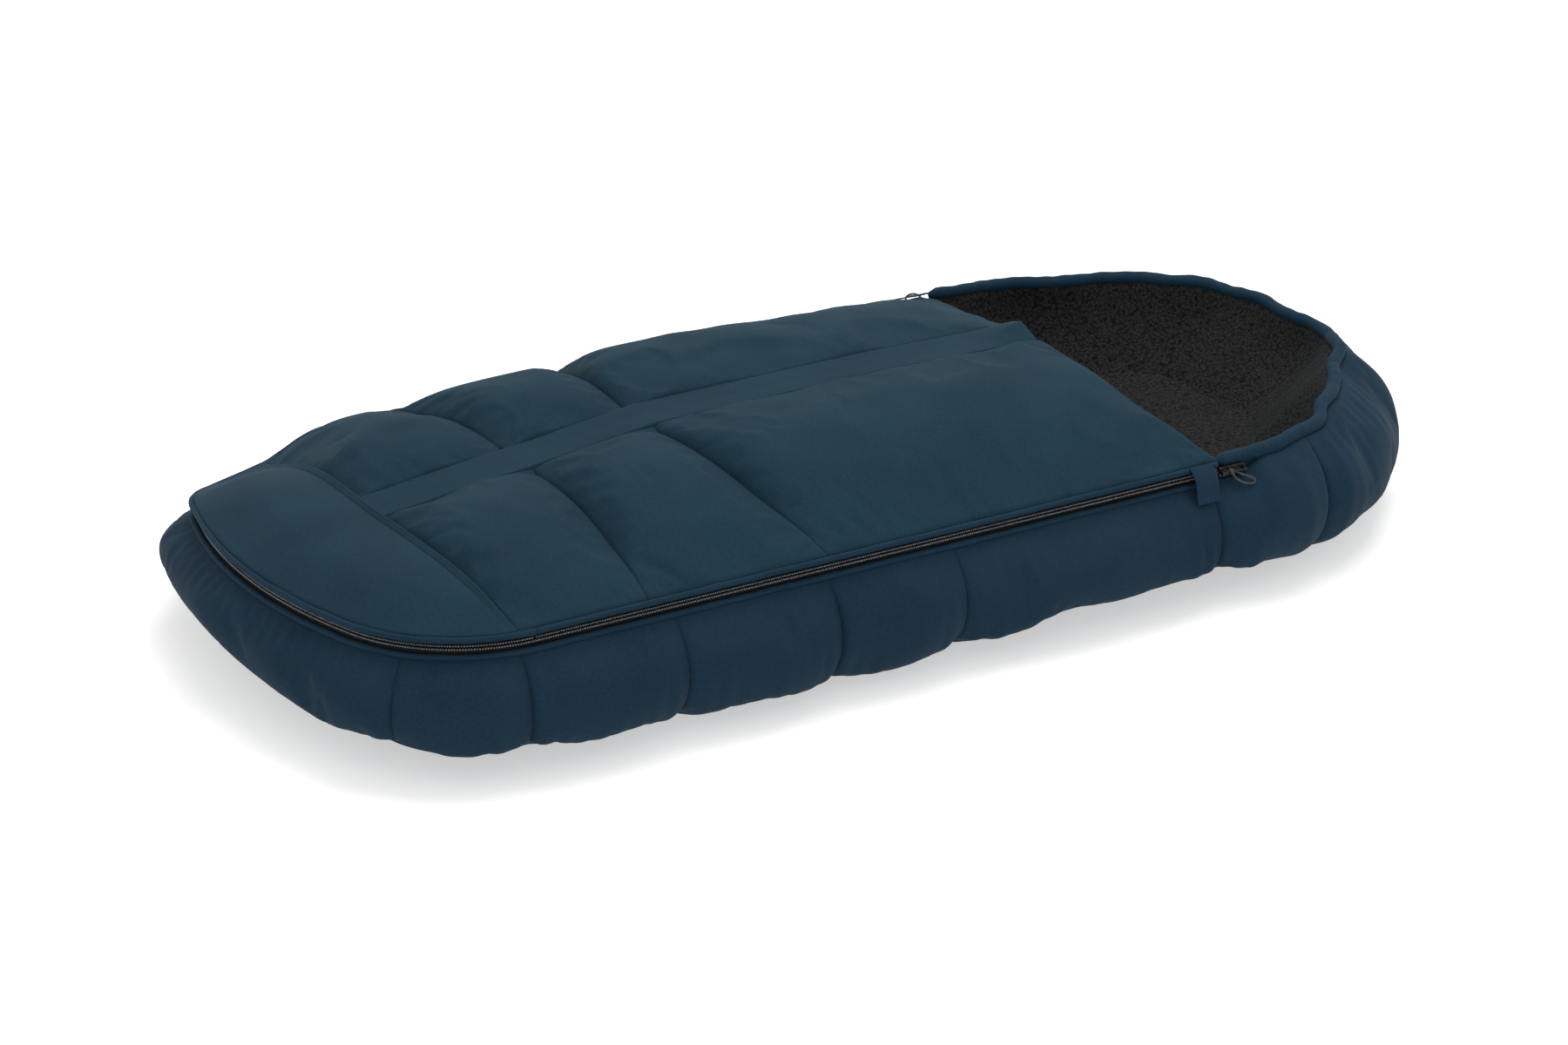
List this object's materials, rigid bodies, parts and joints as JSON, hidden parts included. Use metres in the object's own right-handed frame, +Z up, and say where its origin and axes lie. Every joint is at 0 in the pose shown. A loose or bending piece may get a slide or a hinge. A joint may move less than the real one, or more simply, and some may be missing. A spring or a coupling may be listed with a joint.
{
  "type": "pushchair sleeping bag",
  "caption": "Quilted pushchair sleeping bag: a padded tub with a fleece-lined gathered hood, and a zip-off quilted cover that folds back at the toe end.",
  "frame": {"origin": "on the floor, at the middle of the bag's box", "axes": "+Y from the toe end to the head end, +Z up, +X to the side whose tab is closed"},
  "size_m": [0.4724, 1.0092, 0.161],
  "materials": {
    "underside": "matte",
    "wadding": "matte",
    "fleece": "matte",
    "slot_binding": "matte",
    "wall_fabric": "matte",
    "trim": "matte",
    "elastic": "matte",
    "zip_tape": "matte",
    "zip_coil": "satin",
    "slider": "satin",
    "cover_fabric": "matte",
    "cord": "matte",
    "ribbon": "matte"
  },
  "bodies": {
    "bag": {"underside_panel": "underside", "back_pad_foot": "wadding", "back_pad_seat": "wadding", "back_pad_shoulder": "wadding", "back_pad_head": "wadding", "back_pad_slot_blocks": "wadding", "back_lining": "fleece", "harness_slot_bindings": "slot_binding", "toe_baffle": "wall_fabric", "corner_baffle_right": "wall_fabric", "corner_baffle_left": "wall_fabric", "side_baffle_right_1": "wall_fabric", "side_baffle_right_2": "wall_fabric", "side_baffle_right_3": "wall_fabric", "side_baffle_right_4": "wall_fabric", "side_baffle_left_1": "wall_fabric", "side_baffle_left_2": "wall_fabric", "side_baffle_left_3": "wall_fabric", "side_baffle_left_4": "wall_fabric", "hood_baffle_right": "wall_fabric", "hood_baffle_left": "wall_fabric", "hood_shoulder_right": "wall_fabric", "hood_shoulder_left": "wall_fabric", "hood_head_baffle": "wall_fabric", "side_lining": "fleece", "hood_lining": "fleece", "hood_binding": "trim", "hood_elastic": "elastic", "base_zip_tape": "zip_tape", "base_zip_chain": "zip_coil", "base_piping": "trim", "zip_stop_right": "slider", "zip_stop_left": "slider", "toe_panel": "cover_fabric", "toe_lining": "fleece", "toe_zip_tape": "zip_tape", "toe_zip_chain": "zip_coil", "toe_piping": "trim"},
    "cover": {"quilt_right_1": "cover_fabric", "quilt_right_2": "cover_fabric", "quilt_right_3": "cover_fabric", "quilt_left_1": "cover_fabric", "quilt_left_2": "cover_fabric", "quilt_left_3": "cover_fabric", "centre_strip": "cover_fabric", "cover_lining": "fleece", "cover_zip_tape_right": "zip_tape", "cover_zip_tape_left": "zip_tape", "cover_zip_chain_right": "zip_coil", "cover_zip_chain_left": "zip_coil", "cover_piping_right": "trim", "cover_piping_left": "trim"},
    "slider_right": {"slider_right": "slider"},
    "slider_left": {"slider_left": "slider"},
    "pull_right": {"pull_cord_right": "cord"},
    "pull_left": {"pull_cord_left": "cord"},
    "tab_right": {"tab_right": "ribbon"},
    "tab_left": {"tab_left": "ribbon"}
  },
  "joints": [
    {"name": "cover_fold", "type": "hinge", "parent": "bag", "child": "cover", "pos_m": [0, -0.348, 0.134], "axis": [1, 0, 0], "range_deg": [0, 160]},
    {"name": "slider_right_travel", "type": "slide", "parent": "bag", "child": "slider_right", "axis": [0, -1, 0], "range_m": [0, 0.572]},
    {"name": "slider_left_travel", "type": "slide", "parent": "bag", "child": "slider_left", "axis": [0, -1, 0], "range_m": [0, 0.527]},
    {"name": "pull_right_swing", "type": "hinge", "parent": "slider_right", "child": "pull_right", "pos_m": [0.209, 0.237, 0.097], "axis": [0, -1, 0], "range_deg": [0, 110]},
    {"name": "pull_left_swing", "type": "hinge", "parent": "slider_left", "child": "pull_left", "pos_m": [-0.209, 0.237, 0.097], "axis": [0, 1, 0], "range_deg": [0, 70]},
    {"name": "tab_right_lift", "type": "hinge", "parent": "cover", "child": "tab_right", "pos_m": [0.206, 0.208, 0.107], "axis": [0, -1, 0], "range_deg": [0, 130]},
    {"name": "tab_left_close", "type": "hinge", "parent": "cover", "child": "tab_left", "pos_m": [-0.2056, 0.208, 0.1074], "axis": [0, -1, 0], "range_deg": [0, 150]}
  ]
}
